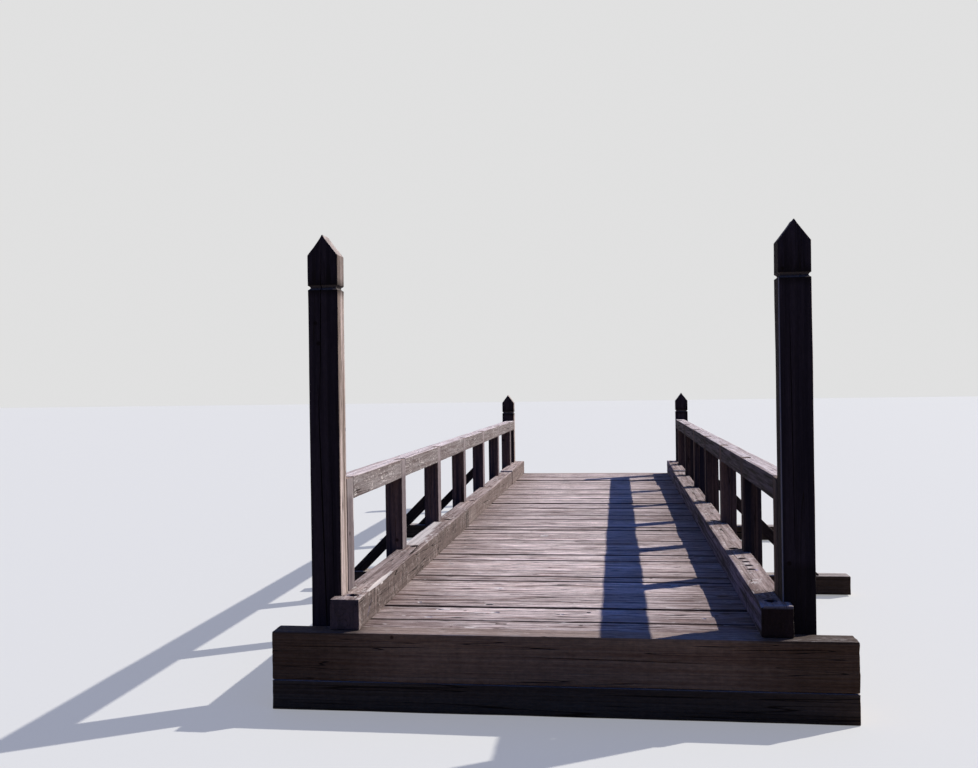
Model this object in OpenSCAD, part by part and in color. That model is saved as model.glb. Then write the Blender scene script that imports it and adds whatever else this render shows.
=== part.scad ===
// Timber footbridge: squared girders on two bearing sills, a plank deck, kerbs, braced
// post-and-rail sides, a tall pair of gate posts at one end and a low pair at the other.
// X runs across the bridge, Y along it from the tall posts to the low ones, and Z is up
// from the underside of the bearing sills.

/* [Span] */
// Length over the two end timbers
span_l = 11450; // [10300:10:12600]
// Clear width between the kerbs
clear_w = 2500; // [2000:10:3200]

/* [Bearings] */
// Length of the end timbers and of the bearing sills under them
header_l = 3626; // [3300:2:4200]
// Depth of an end timber along the bridge
header_d = 175; // [120:1:240]
// Height of a bearing sill
sill_h = 190; // [120:1:300]
// Depth of a bearing sill along the bridge
sill_d = 400; // [360:1:600]

/* [Girders] */
// Number of girders under the deck
girder_n = 5; // [3:1:7]
// Width of a girder
girder_w = 200; // [150:1:260]
// Height of a girder
girder_h = 250; // [180:1:400]

/* [Deck] */
// Width of a deck plank
board_w = 194; // [140:1:260]
// Thickness of a deck plank
board_t = 60; // [40:1:100]
// Smallest gap between two planks
board_gap = 6; // [3:1:15]

/* [Kerbs] */
// Width of a kerb timber
kerb_w = 195; // [180:1:260]
// Height of a kerb timber
kerb_h = 197; // [120:1:300]
// Extra height of the last kerb timber
kerb_rise = 22; // [0:1:60]
// Distance from the end of the bridge to the end of the kerb
kerb_setback = 58; // [0:1:150]
// Distance from the tall end to the first kerb joint
kerb_joint_1 = 4800; // [4000:10:5300]
// Distance from the tall end to the second kerb joint
kerb_joint_2 = 9400; // [8900:10:9900]
// Diameter of a bolt recess in the kerb
recess_dia = 80; // [40:1:90]
// Depth of a bolt recess
recess_depth = 35; // [10:1:80]
// Distance from the kerb's inner face to the bolts
recess_in = 80; // [60:1:85]
// Distance from each end of the bridge to its outermost kerb bolt
recess_end = 200; // [150:1:260]
// Distance from a rail post's near face to the kerb bolt beside it
recess_past_post = 165; // [0:1:300]

/* [Rails] */
// Distance from the kerb's inner face out to the rail's inner face
rail_setback = 143; // [130:1:170]
// Width of the rail and of the rail posts
rail_w = 145; // [100:1:200]
// Height of the rail timber
rail_h = 155; // [100:1:200]
// Height of the rail's top above the deck
rail_top = 946; // [800:1:1300]
// Length of a rail post along the bridge
rail_post_d = 160; // [100:1:200]
// Number of rail posts on a side
rail_post_n = 7; // [5:1:9]
// Gap between the last rail post and the low gate post
last_gap = 546; // [0:1:900]
// Thickness of the tongue of a post that laps into the rail
lap_t = 72; // [40:1:90]

/* [Gate posts] */
// Distance from the rail's inner face out to a gate post's inner face
gate_setback = 2; // [0:1:40]
// Width of a gate post across the bridge
gate_w = 206; // [160:1:250]
// Depth of a gate post along the bridge
gate_d = 160; // [130:1:180]
// Height of the tips of the tall pair above the deck
tall_top = 2557; // [1800:1:3200]
// Height of the tips of the low pair above the deck
low_top = 1397; // [1350:1:1800]
// Height of the gable on a gate post
gable_h = 135; // [60:1:200]
// Distance from the tip of a tall post down to its groove
tall_groove = 348; // [260:1:500]
// Distance from the tip of a low post down to its groove
low_groove = 307; // [260:1:340]
// Height of the groove
groove_h = 30; // [16:1:50]
// Depth of the groove
groove_depth = 20; // [8:1:30]

/* [Outriggers] */
// Length of an outrigger beam
beam_l = 5180; // [4900:10:5700]
// Width of an outrigger beam along the bridge
beam_w = 180; // [160:1:240]
// Height of an outrigger beam
beam_h = 180; // [100:1:188]
// Which rail post the first outrigger stands under, counted from the tall end
first_outrigger = 3; // [2:1:3]
// Which rail post the second outrigger stands under
second_outrigger = 5; // [4:1:5]
// Distance from the end of an outrigger beam in to the foot of its brace
brace_setback = 280; // [200:1:500]
// Thickness of a brace seen from the end of the bridge
brace_t = 100; // [60:1:140]
// Width of a brace along the bridge
brace_w = 120; // [80:1:150]

/* [Hidden] */
// Clearance round a post where it passes a kerb, a plank or the rail
fit = 2;
// Gap between two kerb timbers that meet end to end
kerb_gap = 3;
// Length by which a cutting shape runs past the piece that it cuts
past = 5;

// Number of lengths that the deck's planks are told off in
section_n = 4;

girder_z = sill_h;
board_z = girder_z + girder_h;
deck_z = board_z + board_t;

kerb_in = clear_w / 2;
kerb_out = kerb_in + kerb_w;
rail_in = kerb_in + rail_setback;
rail_out = rail_in + rail_w;
gate_in = rail_in + gate_setback;
gate_end = header_d + gate_d;
bay_l = (span_l - 2 * gate_end - rail_post_d - last_gap) / (rail_post_n - 1);
brace_reach = beam_l / 2 - brace_setback - rail_out;
deck_l = span_l - 2 * header_d;
board_n = floor(deck_l / (board_w + board_gap));
board_pitch = deck_l / board_n;
kerb_cuts = [kerb_setback, kerb_joint_1, kerb_joint_2, span_l - kerb_setback];
outriggers = [first_outrigger, second_outrigger];

post_grey = "#5a5053";
rail_grey = "#b9aea9";
kerb_grey = "#a99f9b";
deck_grey = "#a39a98";
girder_brown = "#4d4443";

// Distance from the tall end to the near face of rail post i, where the first is 1
function post_y(i) = gate_end + (i - 1) * bay_l;
// Distances from the tall end to the kerb bolts
function bolt_ys() = concat(
    [recess_end],
    [for (i = [2:rail_post_n]) post_y(i) + recess_past_post],
    [span_l - recess_end]);

// Sets Y to 0 at the tall end of the bridge
module along() {
    translate([0, -span_l / 2, 0]) children();
}

// Draws on the right, or on the left as its mirror image
module on_side(side) {
    if (side == "left") mirror([1, 0, 0]) children();
    else children();
}

// A squared timber between two corners
module timber(low, high) {
    translate(low) cube(high - low);
}

// Timber laid on the ground under the girder ends
module bearing_sill(y) {
    color(girder_brown)
        along() timber([-header_l / 2, y, 0], [header_l / 2, y + sill_d, sill_h]);
}

// End timber that closes the girder ends, flush with the deck
module header(y) {
    color(deck_grey)
        along() timber([-header_l / 2, y, girder_z], [header_l / 2, y + header_d, deck_z]);
}

// Girder i of girder_n, the outermost flush with the inner faces of the rail posts
module girder(i) {
    first_x = -rail_in + girder_w / 2;
    x = first_x + (i - 1) * (-2 * first_x) / (girder_n - 1);
    color(girder_brown)
        along() timber([x - girder_w / 2, header_d, girder_z],
                       [x + girder_w / 2, span_l - header_d, board_z]);
}

// Beam under the girders that reaches out past both sides
module outrigger_beam(i) {
    y = post_y(outriggers[i - 1]) + rail_post_d / 2;
    color(girder_brown)
        along() timber([-beam_l / 2, y - beam_w / 2, girder_z - beam_h],
                       [beam_l / 2, y + beam_w / 2, girder_z]);
}

// Brace at 45 degrees from the outrigger up to the rail post
module brace(side, i) {
    y = post_y(outriggers[i - 1]) + rail_post_d / 2;
    cut = brace_t * sqrt(2);
    color(post_grey)
        on_side(side) along() translate([rail_out, y + brace_w / 2, girder_z])
            rotate([90, 0, 0]) linear_extrude(brace_w)
                polygon([[0, brace_reach], [0, brace_reach - cut],
                         [brace_reach - cut, 0], [brace_reach, 0]]);
}

// Room for every post that stands up through the deck on the right
module post_room(low_z, high_z) {
    out = kerb_out + past;
    for (y = [header_d, span_l - gate_end])
        timber([gate_in - fit, y - fit, low_z], [out, y + gate_d + fit, high_z]);
    for (i = [1:rail_post_n])
        timber([rail_in - fit, post_y(i) - fit, low_z],
               [out, post_y(i) + rail_post_d + fit, high_z]);
}

// One of the deck's lengths of planks, each plank a solid of its own
module deck_section(k) {
    first = floor((k - 1) * board_n / section_n);
    last = floor(k * board_n / section_n) - 1;
    color(deck_grey) along() difference() {
        for (i = [first:last]) {
            y = header_d + (i + 0.5) * board_pitch;
            timber([-kerb_out, y - board_w / 2, board_z], [kerb_out, y + board_w / 2, deck_z]);
        }
        post_room(board_z - past, deck_z + past);
        mirror([1, 0, 0]) post_room(board_z - past, deck_z + past);
    }
}

// Outline of a grooved post, seen square on, with a gable or a flat top
module post_outline(width, height, groove_z, gabled) {
    half = width / 2;
    groove = groove_h / 2;
    waist = half - groove_depth;
    shoulder = gabled ? height - gable_h : height;
    top = gabled ? [[half, shoulder], [0, height], [-half, shoulder]]
                 : [[half, shoulder], [-half, shoulder]];
    polygon(concat(
        [[-half, 0], [half, 0]],
        [[half, groove_z - groove], [waist, groove_z], [half, groove_z + groove]],
        top,
        [[-half, groove_z + groove], [-waist, groove_z], [-half, groove_z - groove]]));
}

// Gate post with a gable across the bridge and a groove cut round it
module gate_post(side, y, top, groove_drop) {
    height = deck_z + top - girder_z;
    groove_z = height - groove_drop;
    color(post_grey)
        on_side(side) along() translate([gate_in + gate_w / 2, y + gate_d / 2, girder_z])
            intersection() {
                translate([0, gate_d / 2, 0]) rotate([90, 0, 0])
                    linear_extrude(gate_d) post_outline(gate_w, height, groove_z, true);
                translate([-gate_w / 2, 0, 0]) rotate([90, 0, 90])
                    linear_extrude(gate_w) post_outline(gate_d, height, groove_z, false);
            }
}

// Rail post i, against the girder, with a tongue that laps into the rail
module rail_post(side, i) {
    shoulder_z = deck_z + rail_top - rail_h;
    y = post_y(i);
    color(post_grey)
        on_side(side) along() union() {
            timber([rail_in, y, girder_z], [rail_out, y + rail_post_d, shoulder_z]);
            timber([rail_in, y, shoulder_z - past],
                   [rail_in + lap_t, y + rail_post_d, deck_z + rail_top]);
        }
}

// Rail from gate post to gate post, cut on its inner side for the tongues
module rail(side) {
    low_z = deck_z + rail_top - rail_h;
    high_z = deck_z + rail_top;
    color(rail_grey)
        on_side(side) along() difference() {
            timber([rail_in, gate_end, low_z], [rail_out, span_l - gate_end, high_z]);
            for (i = [1:rail_post_n])
                timber([rail_in - past, post_y(i) - fit, low_z - past],
                       [rail_in + lap_t, post_y(i) + rail_post_d + fit, high_z + past]);
        }
}

// Kerb timber k, notched round the posts, with a round recess over each bolt
module kerb(side, k) {
    height = kerb_h + (k == 3 ? kerb_rise : 0);
    start = kerb_cuts[k - 1] + (k > 1 ? kerb_gap / 2 : 0);
    end = kerb_cuts[k] - (k < 3 ? kerb_gap / 2 : 0);
    color(kerb_grey)
        on_side(side) along() difference() {
            timber([kerb_in, start, deck_z], [kerb_out, end, deck_z + height]);
            post_room(deck_z - past, deck_z + height + past);
            for (y = bolt_ys())
                translate([kerb_in + recess_in, y, deck_z + height - recess_depth])
                    cylinder(d = recess_dia, h = recess_depth + past, $fn = 48);
        }
}

bearing_sill(0);  // bearing_sill_near
bearing_sill(span_l - sill_d);  // bearing_sill_far
header(0);  // header_near
header(span_l - header_d);  // header_far
for (i = [1:girder_n])
    girder(i);
for (i = [1:2])
    outrigger_beam(i);
for (side = ["left", "right"], i = [1:2])
    brace(side, i);
for (k = [1:section_n])
    deck_section(k);
for (side = ["left", "right"])
    gate_post(side, header_d, tall_top, tall_groove);
for (side = ["left", "right"])
    gate_post(side, span_l - gate_end, low_top, low_groove);
for (side = ["left", "right"], i = [1:rail_post_n])
    rail_post(side, i);
for (side = ["left", "right"], k = [1:3])
    kerb(side, k);
for (side = ["left", "right"])
    rail(side);
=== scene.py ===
# %% Load the frame
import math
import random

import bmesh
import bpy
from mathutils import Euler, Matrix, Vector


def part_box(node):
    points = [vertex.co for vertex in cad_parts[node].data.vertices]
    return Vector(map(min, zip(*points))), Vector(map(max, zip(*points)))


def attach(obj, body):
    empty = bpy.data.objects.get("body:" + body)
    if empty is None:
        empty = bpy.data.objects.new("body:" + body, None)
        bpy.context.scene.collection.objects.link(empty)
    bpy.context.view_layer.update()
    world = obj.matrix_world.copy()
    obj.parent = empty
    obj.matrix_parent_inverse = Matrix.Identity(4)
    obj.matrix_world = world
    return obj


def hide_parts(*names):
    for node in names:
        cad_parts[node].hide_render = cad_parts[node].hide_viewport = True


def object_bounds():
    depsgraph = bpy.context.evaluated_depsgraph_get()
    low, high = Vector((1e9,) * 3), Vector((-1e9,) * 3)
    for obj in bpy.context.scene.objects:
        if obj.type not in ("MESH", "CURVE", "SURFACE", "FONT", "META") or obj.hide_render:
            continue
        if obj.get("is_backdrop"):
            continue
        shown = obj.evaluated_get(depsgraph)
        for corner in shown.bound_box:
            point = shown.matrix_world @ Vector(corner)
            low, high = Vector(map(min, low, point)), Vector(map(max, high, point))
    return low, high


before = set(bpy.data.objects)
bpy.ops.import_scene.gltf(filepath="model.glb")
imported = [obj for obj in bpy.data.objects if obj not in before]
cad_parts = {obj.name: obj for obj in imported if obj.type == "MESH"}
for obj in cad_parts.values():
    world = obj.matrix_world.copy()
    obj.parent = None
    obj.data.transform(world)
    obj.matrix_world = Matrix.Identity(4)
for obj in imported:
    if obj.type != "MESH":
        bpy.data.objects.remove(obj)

# %% [markdown]
# # A wooden footbridge, timber by timber
# The bridge is heavy carpentry: squared timbers, sawn planks, and nothing that isn't
# straight. What the eye reads as real is the state of the wood. Each arris is rounded,
# each face has sunk in streaks along its grain, the timbers have split while they dried,
# and sun has bleached what it reaches. The rest is nearly black, partly from creosote
# and partly from painted shade on the faces turned from the lamp.
# So every piece here starts as a plain box of the right size. Its arrises are rounded and
# its faces sink, then its joints and splits are cut, and last it is marked where it is
# worn or bleached, and where painted shade and painted highlights go. The frame that
# was just loaded says where each timber lies. What it doesn't hold, such as the planks'
# joints and the braces' ends, is stated here.

frame_low, frame_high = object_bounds()
near = frame_low.y          # the end with the two tall posts
deck_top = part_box("deck_section_1")[1].z
random.seed(1853)
print("the bridge is", [round(v, 3) for v in frame_high - frame_low], "m; deck at", round(deck_top, 3))

# %% [markdown]
# ## The camera
# A camera at eye height stands about six metres before the near end and looks along the
# deck, turned a little to the left. Its place, its turn and its lens are what a fit to
# the bridge's straight edges gives. The three axes are worked out from the
# turn, the tilt and the roll, and they become the columns of the camera's matrix.

# %% Camera
turned, tilted, rolled = 0.1290, 0.0031, 0.0139      # radians
eye = Vector((0.4025, -11.800, 2.0426))
focal, photo_wide, film_wide = 985.19, 978, 36       # pixels, pixels, mm: the fit counts in pixels
level_right = Vector((math.cos(turned), math.sin(turned), 0))
level_ahead = Vector((-math.sin(turned), math.cos(turned), 0))
ahead = math.cos(tilted) * level_ahead + math.sin(tilted) * Vector((0, 0, 1))
over = -math.sin(tilted) * level_ahead + math.cos(tilted) * Vector((0, 0, 1))
right = math.cos(rolled) * level_right - math.sin(rolled) * over
up = math.sin(rolled) * level_right + math.cos(rolled) * over

bpy.ops.object.select_all(action="DESELECT")
bpy.ops.object.camera_add()
camera = bpy.context.object
camera.matrix_world = Matrix.Translation(eye) @ Matrix((right, up, -ahead)).transposed().to_4x4()
camera.data.sensor_width = film_wide
camera.data.lens = focal / photo_wide * film_wide
camera.data.clip_end = 300
bpy.context.scene.camera = camera
bpy.context.scene.view_settings.view_transform = "Standard"
print("lens", round(camera.data.lens, 2), "mm")

# %% [markdown]
# ## Nodes and colours
# A material is a graph of nodes. Writing one by hand takes a line for the node, one for
# each setting and one for each link, which hides what the graph does. One small function
# does all three and hands back the node's output, so that a line of code reads as one
# step of the pattern. Colours are written as sRGB hex values, as a colour picker shows
# them, and turned to the linear values that the sockets take.

# %% One function for nodes, one for colours
def linear(code):
    """An sRGB colour such as "#8a7f76" as linear red, green, blue and alpha."""
    parts = [int(code[i:i + 2], 16) / 255 for i in (1, 3, 5)]
    return [p / 12.92 if p <= 0.04045 else ((p + 0.055) / 1.055) ** 2.4 for p in parts] + [1.0]


def add(tree, kind, sockets=(), out=0, **settings):
    """Add a node with its settings and return one of its outputs.

    The sockets come in order, or by name or number. Each gets a value or a link.
    """
    made = tree.nodes.new("ShaderNode" + kind)
    for name, value in settings.items():
        setattr(made, name, value)
    for name, value in sockets.items() if isinstance(sockets, dict) else enumerate(sockets):
        if isinstance(value, bpy.types.NodeSocket):
            tree.links.new(value, made.inputs[name])
        else:
            made.inputs[name].default_value = value
    return made.outputs[out] if made.outputs else made


as_colour = {"out": 2, "data_type": "RGBA"}          # for a Mix node; its colours are sockets 6 and 7


def new_tree(owner):
    """Switch nodes on for a material or a world and empty its graph."""
    owner.use_nodes = True
    owner.node_tree.nodes.clear()
    return owner.node_tree


print("mid grey #808080 is", round(linear("#808080")[0], 3), "linear")

# %% [markdown]
# ## Floor and light
# The bridge stands on a plain pale floor. One sun lamp comes from the far right, about
# 36 degrees up, so that the right railing throws its shadow on the deck and the faces
# towards the camera stay dark. Its angle keeps the shadows' edges a little soft. At a
# strength of pi, a face that looks straight at the lamp shows as its colour is written.
# This lamp is stronger, because it strikes the deck aslant. The world fills the shade
# with weak blue light, as a clear sky does.
# The background has to look pale without lighting the bridge, so Light Path splits both
# floor and world: the camera and reflections see them pale, all other rays see a darker
# colour. A little glow, for the same rays, keeps the shadows on the floor pale too.

# %% Floor, sun and sky
def seen(tree):
    """1 for rays from the camera, from gloss and through glass, 0 for all the rest."""
    ray = add(tree, "LightPath").node.outputs
    gloss = add(tree, "Math", (ray["Is Camera Ray"], ray["Is Glossy Ray"]), operation="MAXIMUM")
    return add(tree, "Math", (gloss, ray["Is Transmission Ray"]), operation="MAXIMUM")


sun_from = Vector((1, 0.62, 0.845)).normalized()
sky_light, sky_seen = (0.026, 0.072, 0.270, 1), (0.75, 0.75, 0.75, 1)
floor_light, floor_seen, floor_glow = (0.19, 0.16, 0.13, 1), (0.52, 0.52, 0.50, 1), 0.30
bpy.ops.object.light_add(type="SUN", location=sun_from * 12)
sun = bpy.context.object
sun.rotation_euler = sun_from.to_track_quat("Z", "Y").to_euler()
sun.data.energy = 4.4
sun.data.angle = math.radians(0.7)
sun.data.color = (1.0, 0.96, 0.89)

sky = bpy.context.scene.world or bpy.data.worlds.new("sky")
bpy.context.scene.world = sky
tree = new_tree(sky)
shown = add(tree, "Mix", {0: seen(tree), 6: sky_light, 7: sky_seen}, **as_colour)
add(tree, "OutputWorld", {"Surface": add(tree, "Background", {"Color": shown})})

bpy.ops.mesh.primitive_plane_add(size=240, location=(0, 0, 0))
floor = bpy.context.object
floor.name = "floor"
plaster = bpy.data.materials.new("pale_matt_floor")
tree = new_tree(plaster)
by_ray = seen(tree)
shown = add(tree, "Mix", {0: by_ray, 6: floor_light, 7: floor_seen}, **as_colour)
glow = add(tree, "Math", (by_ray, floor_glow), operation="MULTIPLY")
matt = add(tree, "BsdfPrincipled", {"Base Color": shown, "Roughness": 0.9, "Specular IOR Level": 0.1,
                                    "Emission Color": (1, 1, 1, 1), "Emission Strength": glow})
add(tree, "OutputMaterial", {"Surface": matt})
floor.data.materials.append(plaster)
floor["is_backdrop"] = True
print("sun", round(math.degrees(math.asin(sun_from.z))), "degrees up")

# %% [markdown]
# ## Working on one piece
# An operator acts on everything that is selected. So each step first leaves one piece
# selected, and in edit mode it picks vertices, edges or faces by a test on their place.
# A piece that is already where it belongs needs no move later, so primitives are added
# in place and their size is applied to the mesh at once.

# %% Helpers for selecting and shaping
def alone(piece):
    """Object mode, with this piece selected and active and nothing else."""
    if bpy.context.mode != "OBJECT":
        bpy.ops.object.mode_set(mode="OBJECT")
    bpy.ops.object.select_all(action="DESELECT")
    piece.select_set(True)
    bpy.context.view_layer.objects.active = piece


def pick(piece, kind, wanted):
    """Edit mode, with the VERT, EDGE or FACE elements selected for which wanted(element) is true."""
    alone(piece)
    bpy.ops.object.mode_set(mode="EDIT")
    bpy.ops.mesh.select_mode(type=kind)
    bpy.ops.mesh.select_all(action="DESELECT")
    mesh = bmesh.from_edit_mesh(piece.data)
    for part in {"VERT": mesh.verts, "EDGE": mesh.edges, "FACE": mesh.faces}[kind]:
        if wanted(part):
            part.select_set(True)
    mesh.select_flush_mode()
    bmesh.update_edit_mesh(piece.data)


def fresh(primitive, **place):
    """Add a primitive with nothing else selected, its place, turn and size in its mesh."""
    if bpy.context.mode != "OBJECT":
        bpy.ops.object.mode_set(mode="OBJECT")
    bpy.ops.object.select_all(action="DESELECT")
    primitive(**place)
    bpy.ops.object.transform_apply(location=True, rotation=True, scale=True)
    return bpy.context.object


def block(name, low, high):
    """A plain box between two corners."""
    low, high = Vector(low), Vector(high)
    piece = fresh(bpy.ops.mesh.primitive_cube_add, size=1, location=(low + high) / 2, scale=high - low)
    piece.name = piece.data.name = name
    return piece


def apply_all(piece):
    """Apply the piece's modifiers, first to last."""
    alone(piece)
    for modifier in list(piece.modifiers):
        bpy.ops.object.modifier_apply(modifier=modifier.name)


def copy_of(pattern, name, move=(0, 0, 0), scale=(1, 1, 1)):
    """A copy with its own mesh, scaled about the origin and moved, and then settled there."""
    alone(pattern)
    bpy.ops.object.duplicate(linked=False)
    piece = bpy.context.object
    piece.name = piece.data.name = name
    piece.location, piece.scale = move, scale
    bpy.ops.object.transform_apply(location=True, rotation=True, scale=True)
    if scale[0] * scale[1] * scale[2] < 0:           # a mirrored shell is inside out
        pick(piece, "FACE", lambda face: True)
        bpy.ops.mesh.normals_make_consistent(inside=False)
        bpy.ops.object.mode_set(mode="OBJECT")
    return piece


def joined(pieces, name):
    """Several pieces as one."""
    alone(pieces[0])
    for piece in pieces:
        piece.select_set(True)
    if len(pieces) > 1:
        bpy.ops.object.join()
    piece = bpy.context.object
    piece.name = piece.data.name = name
    return piece


print("helpers are ready")

# %% [markdown]
# ## From a box to an old timber
# A box has eight corners, and nothing can sink between them. So it is first cut in
# rings: all edges that run one way are subdivided, which cuts straight across the box.
# A Bevel modifier then rounds the arrises, and a Displace modifier lets the faces sink.
# Displace reads a cloud texture through an empty that is stretched along the grain, so
# the hollows come out long and narrow, as the soft wood between the hard grain weathers.
# Its middle level is high, so the surface mostly moves inwards and no timber grows.
# The boxes stay where they are, so the same texture gives each timber other hollows.

# %% Rings, arrises and sunken grain
def cut_rings(piece, axis, cell):
    """Cut straight across until no edge that runs along this axis (0, 1, 2) is much longer than the cell."""
    def run(edge):
        way = edge.verts[0].co - edge.verts[1].co
        return way.length if abs(way[axis]) > 0.999 * way.length else 0.0

    while True:
        pick(piece, "EDGE", lambda edge: False)
        longest = max(run(edge) for edge in bmesh.from_edit_mesh(piece.data).edges)
        if longest < 1.5 * cell:
            break
        pick(piece, "EDGE", lambda edge: run(edge) > 0.99 * longest)
        bpy.ops.mesh.subdivide(number_cuts=max(1, round(longest / cell) - 1))
    bpy.ops.object.mode_set(mode="OBJECT")


def squared(name, low, high, cells):
    """A squared timber between two corners, cut in rings of these sizes along X, Y and Z."""
    piece = block(name, low, high)
    for axis in range(3):
        cut_rings(piece, axis, cells[axis])
    return piece


grain_turn = {                                       # turns X into the way the grain runs
    "x": Euler((0, 0, 0)), "y": Euler((0, 0, math.radians(90))), "z": Euler((0, math.radians(-90), 0)),
    "right_brace": Euler((0, math.radians(45), 0)), "left_brace": Euler((0, math.radians(-45), 0)),
}
soft_wood = bpy.data.textures.new("sunken_soft_wood", type="CLOUDS")
soft_wood.noise_scale, soft_wood.noise_depth = 0.6, 3
grain_guide = {}
for way, turn in grain_turn.items():
    bpy.ops.object.empty_add(rotation=turn)
    grain_guide[way] = bpy.context.object
    grain_guide[way].scale = (1.1, 0.075, 0.075)     # hollows some 0.6 m long and 40 mm wide
bpy.context.view_layer.update()


def weather(piece, grain, arris=0.006, relief=0.006):
    """Round the arrises and let the faces sink in streaks along the grain."""
    edge = piece.modifiers.new("arris", "BEVEL")
    edge.width, edge.segments, edge.limit_method, edge.angle_limit = arris, 2, "ANGLE", math.radians(60)
    sink = piece.modifiers.new("sunken grain", "DISPLACE")
    sink.texture, sink.texture_coords, sink.texture_coords_object = soft_wood, "OBJECT", grain_guide[grain]
    sink.mid_level, sink.strength = 0.80, relief
    apply_all(piece)


print("grain runs", ", ".join(grain_turn))

# %% [markdown]
# ## Joints, splits and finishing
# Kerbs, planks and rails are notched round the posts, and the kerbs have round recesses
# for their bolts. Each is cut with a Boolean modifier: a solid of the notch's shape is
# taken away from the timber. The same way serves for a drying split, whose cutter is a
# sphere stretched to a long thin lens, so that the split opens in its middle and closes
# at both ends. The cut faces are marked for painted shade: they take the dark colour of
# the shaded side inside every notch, recess and split. The cutter goes when the cut is made.
# Each timber also carries a number, its tone, that the material reads as an attribute,
# so that neighbours differ in their streaks and their colour.

# %% Cutting, splitting, finishing
def volume(mesh):
    """The volume inside a closed mesh, in cubic metres."""
    shell = bmesh.new()
    shell.from_mesh(mesh)
    inside = shell.calc_volume()
    shell.free()
    return inside


def cut_away(piece, tools):
    """Take each tool's shape out of the piece, and mark the cut faces for painted shade, so that they stay
    dark.

    A cut that takes more than its tool holds, or adds to the piece, has failed and is tried again a hair
    beside. One that fails in all four places is left out and named, and the piece stays whole there.
    """
    for tool in tools:
        before, held = piece.data.copy(), volume(tool.data)
        for nudge in (0, 0.0004, -0.0007, 0.0013):
            tool.location = (nudge, nudge * 0.6, nudge * 0.3)
            cut = piece.modifiers.new("cut", "BOOLEAN")
            cut.operation, cut.solver, cut.object = "DIFFERENCE", "EXACT", tool
            apply_all(piece)
            if volume(before) - 1.05 * held < volume(piece.data) < volume(before) + 1e-9:
                break
            piece.data = before.copy()
        else:
            middle = sum((v.co for v in tool.data.vertices), Vector()) / len(tool.data.vertices)
            print("a cut is left out of", piece.name, "at", [round(c, 3) for c in middle])
        touching = 0.0002                            # a face this near the tool's surface was made by it
        # painted shade: the cut faces take the dark colour of the shaded side
        mark(piece, "wear_and_shade",
             lambda at: tool.closest_point_on_mesh(at - tool.location, distance=touching)[0], -1.0)
        bpy.data.objects.remove(tool)


def split(at, along, across, length, width, depth):
    """The cutter of a drying split: a lens centred on the face, long one way and thin across it."""
    along = Vector(along).normalized()
    across = (Vector(across) - Vector(across).project(along)).normalized()
    lens = fresh(bpy.ops.mesh.primitive_uv_sphere_add, segments=12, ring_count=16, radius=0.5)
    axes = Matrix((across * width, along.cross(across) * depth * 2, along * length)).transposed()
    lens.matrix_world = Matrix.Translation(at) @ axes.to_4x4()
    bpy.ops.object.transform_apply(location=True, rotation=True, scale=True)
    pick(lens, "FACE", lambda face: True)
    bpy.ops.mesh.normals_make_consistent(inside=False)
    bpy.ops.object.mode_set(mode="OBJECT")
    return lens


def mark(piece, name, wanted, value=1.0):
    """Write a value for the material wherever the place is wanted: on faces for the mark of wear and painted
    shade, else on vertices.
    """
    faces, layers = name == "wear_and_shade", piece.data.attributes
    layer = layers.get(name) or layers.new(name, "FLOAT", "FACE" if faces else "POINT")
    places = [face.center for face in piece.data.polygons] if faces else [v.co for v in piece.data.vertices]
    for index, place in enumerate(places):
        if wanted(place):
            layer.data[index].value = value


def wear_off(piece, centre, radii, pale):
    """Wear a flat hollow with an egg-shaped cutter, and mark its faces pale for the material."""
    def in_hollow(at):
        return 0.9 < Vector((a - c) / r for a, c, r in zip(at, centre, radii)).length < 1.02

    cut_away(piece, [fresh(bpy.ops.mesh.primitive_uv_sphere_add, segments=48, ring_count=24, radius=1,
                           location=centre, scale=radii)])
    mark(piece, "wear_and_shade", in_hollow, pale)


def tell_tone(piece, tone=None):
    """Write the timber's own number, 0 to 1, on its vertices."""
    value = random.random() if tone is None else tone
    layer = piece.data.attributes.get("tone") or piece.data.attributes.new("tone", "FLOAT", "POINT")
    layer.data.foreach_set("value", [value] * len(piece.data.vertices))


waiting = []                                         # pieces that still need their material


def done(piece, finish, slot, *nodes):
    """Smooth the faces but not bends over 35 degrees, hang the piece on the root, hide the frame's parts it
    stands for, and keep it for its finish.
    """
    alone(piece)
    bpy.ops.object.shade_smooth_by_angle(angle=math.radians(35))
    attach(piece, "root")
    if nodes:
        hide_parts(*nodes)
    waiting.append((piece, finish))
    return len(piece.data.polygons)


print("joints and splits are ready")

# %% [markdown]
# ## Sills, headers, girders and outrigger beams
# These are the timbers that lie flat. At each end the bearing sill carries the girders,
# and the header closes the deck in front of them, flush with the planks. Two outrigger beams
# reach out below the deck and carry the railing's braces. All are plain baulks with sawn
# ends, so one function makes them from the frame's boxes. Only the headers and the
# outriggers can be seen close by, so those get finer rings and some splits: in the face
# of a header, and in the top of each end of an outrigger. The headers' ends, out past the
# kerbs, are darkened with painted shade, more the further out, and their tops most.

# %% The flat timbers
def flat_timber(node, grain, cells, arris=0.008):
    """One timber that fills its node's box, and the box's two corners."""
    low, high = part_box(node)
    piece = squared(node + "_timber", low, high, cells)
    weather(piece, grain, arris, 0.008)
    return piece, low, high


faces = 0
plain = [("bearing_sill_" + end, "x", (0.09, 0.04, 0.04), "foundation", "foundation_timber")
         for end in ("near", "far")]
plain += [(f"girder_{number}", "y", (0.05, 0.11, 0.05), "girder", "girder_timber") for number in range(1, 6)]
for node, grain, cells, finish, slot in plain:
    piece, low, high = flat_timber(node, grain, cells)
    tell_tone(piece)
    faces += done(piece, finish, slot, node)

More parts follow.
